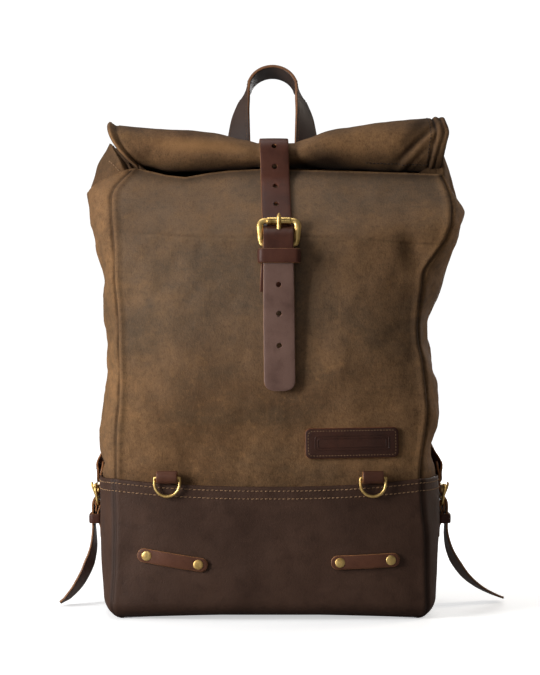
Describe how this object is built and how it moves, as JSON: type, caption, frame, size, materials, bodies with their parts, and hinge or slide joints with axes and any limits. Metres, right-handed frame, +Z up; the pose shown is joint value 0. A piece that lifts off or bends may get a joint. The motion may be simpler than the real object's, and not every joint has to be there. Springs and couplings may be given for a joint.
{
  "type": "roll-top leather saddlebag",
  "caption": "Roll-top leather bag for a motorcycle, with a buckled closure strap, carry handle, shoulder straps and hanging side straps.",
  "frame": {"origin": "centre of the bottom panel, on the surface the bag stands on", "axes": "+X to the right seen from the front, +Y towards the back with the shoulder straps, +Z up"},
  "size_m": [0.4256, 0.228, 0.5294],
  "materials": {
    "waxed_leather": "waxed, distressed",
    "base_leather": "smooth, slightly polished",
    "strap_leather": "bridle leather with light cut edges",
    "patch_leather": "embossed",
    "antique_brass": "antique",
    "lining_canvas": "woven",
    "stiffener_board": "matte"
  },
  "bodies": {
    "bag": {"front_panel": "waxed_leather", "back_panel": "waxed_leather", "gusset_left": "waxed_leather", "gusset_right": "waxed_leather", "base_front": "base_leather", "base_back": "base_leather", "base_side_left": "base_leather", "base_side_right": "base_leather", "base_bottom": "base_leather", "base_board": "stiffener_board", "lining": "lining_canvas", "mouth_facing": "waxed_leather", "plain_patch": "patch_leather", "gear_loop_left": "strap_leather", "gear_loop_right": "strap_leather", "gear_loop_rivets": "antique_brass", "dring_tab_left": "strap_leather", "dring_tab_right": "strap_leather", "closure_base_strap": "strap_leather", "closure_strap_lower": "strap_leather", "closure_strap_anchor": "strap_leather", "closure_keeper": "strap_leather", "handle_ends": "strap_leather", "yoke_patch": "base_leather", "yoke_rivets": "antique_brass", "shoulder_strap_left": "base_leather", "shoulder_strap_right": "base_leather", "adjuster_left": "strap_leather", "adjuster_right": "strap_leather", "side_tab_left": "strap_leather", "side_tab_right": "strap_leather", "side_keeper_left": "strap_leather", "side_keeper_right": "strap_leather"},
    "roll_top": {"roll": "waxed_leather", "mouth_batten": "stiffener_board", "collar_back": "waxed_leather", "collar_side_left": "waxed_leather", "collar_side_right": "waxed_leather", "closure_strap_over": "strap_leather"},
    "strap_tail": {"closure_strap_tail": "strap_leather"},
    "closure_buckle": {"buckle_frame": "antique_brass"},
    "closure_roller": {"buckle_roller": "antique_brass"},
    "closure_prong": {"buckle_prong": "antique_brass"},
    "carry_handle": {"handle": "strap_leather"},
    "ring_left": {"dring_left": "antique_brass"},
    "ring_right": {"dring_right": "antique_brass"},
    "side_buckle_left": {"side_buckle_left": "antique_brass"},
    "side_roller_left": {"side_roller_left": "antique_brass"},
    "side_prong_left": {"side_prong_left": "antique_brass"},
    "side_tail_left": {"side_tail_left": "strap_leather"},
    "side_buckle_right": {"side_buckle_right": "antique_brass"},
    "side_roller_right": {"side_roller_right": "antique_brass"},
    "side_prong_right": {"side_prong_right": "antique_brass"},
    "side_tail_right": {"side_tail_right": "strap_leather"}
  },
  "joints": [
    {"name": "roll_top_lift", "type": "hinge", "parent": "bag", "child": "roll_top", "pos_m": [0, 0.0672, 0.4052], "axis": [-1, 0, 0], "range_deg": [0, 55]},
    {"name": "strap_tail_swing", "type": "hinge", "parent": "bag", "child": "strap_tail", "pos_m": [0.0075, -0.08785, 0.3194], "axis": [-1, 0, 0], "range_deg": [0, 60]},
    {"name": "closure_buckle_tilt", "type": "hinge", "parent": "bag", "child": "closure_buckle", "pos_m": [0.0075, -0.08, 0.337], "axis": [1, 0, 0], "range_deg": [0, 12]},
    {"name": "closure_prong_lift", "type": "hinge", "parent": "closure_buckle", "child": "closure_prong", "pos_m": [0.0075, -0.08, 0.337], "axis": [1, 0, 0], "range_deg": [0, 18]},
    {"name": "closure_roller_spin", "type": "hinge", "parent": "closure_buckle", "child": "closure_roller", "pos_m": [0.0075, -0.07565, 0.3583], "axis": [1, 0, 0], "continuous": true},
    {"name": "handle_flop", "type": "hinge", "parent": "bag", "child": "carry_handle", "pos_m": [0.0025, 0.0673, 0.3972], "axis": [-1, 0, 0], "range_deg": [0, 65]},
    {"name": "ring_swing_left", "type": "hinge", "parent": "bag", "child": "ring_left", "pos_m": [-0.092, -0.07979, 0.1285], "axis": [-0.9979, 0.0654, 0], "range_deg": [0, 150]},
    {"name": "side_buckle_tilt_left", "type": "hinge", "parent": "bag", "child": "side_buckle_left", "pos_m": [-0.16256, 0.018, 0.097], "axis": [0, -1, 0], "range_deg": [0, 12]},
    {"name": "side_prong_lift_left", "type": "hinge", "parent": "side_buckle_left", "child": "side_prong_left", "pos_m": [-0.16256, 0.018, 0.097], "axis": [0, -1, 0], "range_deg": [0, 18]},
    {"name": "side_roller_spin_left", "type": "hinge", "parent": "side_buckle_left", "child": "side_roller_left", "pos_m": [-0.16496, 0.018, 0.11313], "axis": [0, -1, 0], "continuous": true},
    {"name": "side_tail_swing_left", "type": "hinge", "parent": "bag", "child": "side_tail_left", "pos_m": [-0.16845, 0.018, 0.07585], "axis": [0, 1, 0], "range_deg": [0, 40]},
    {"name": "ring_swing_right", "type": "hinge", "parent": "bag", "child": "ring_right", "pos_m": [0.092, -0.07979, 0.1285], "axis": [-0.9979, -0.0654, 0], "range_deg": [0, 150]},
    {"name": "side_buckle_tilt_right", "type": "hinge", "parent": "bag", "child": "side_buckle_right", "pos_m": [0.16256, 0.018, 0.097], "axis": [0, 1, 0], "range_deg": [0, 12]},
    {"name": "side_prong_lift_right", "type": "hinge", "parent": "side_buckle_right", "child": "side_prong_right", "pos_m": [0.16256, 0.018, 0.097], "axis": [0, 1, 0], "range_deg": [0, 18]},
    {"name": "side_roller_spin_right", "type": "hinge", "parent": "side_buckle_right", "child": "side_roller_right", "pos_m": [0.16496, 0.018, 0.11313], "axis": [0, 1, 0], "continuous": true},
    {"name": "side_tail_swing_right", "type": "hinge", "parent": "bag", "child": "side_tail_right", "pos_m": [0.16845, 0.018, 0.07585], "axis": [0, -1, 0], "range_deg": [0, 40]}
  ]
}
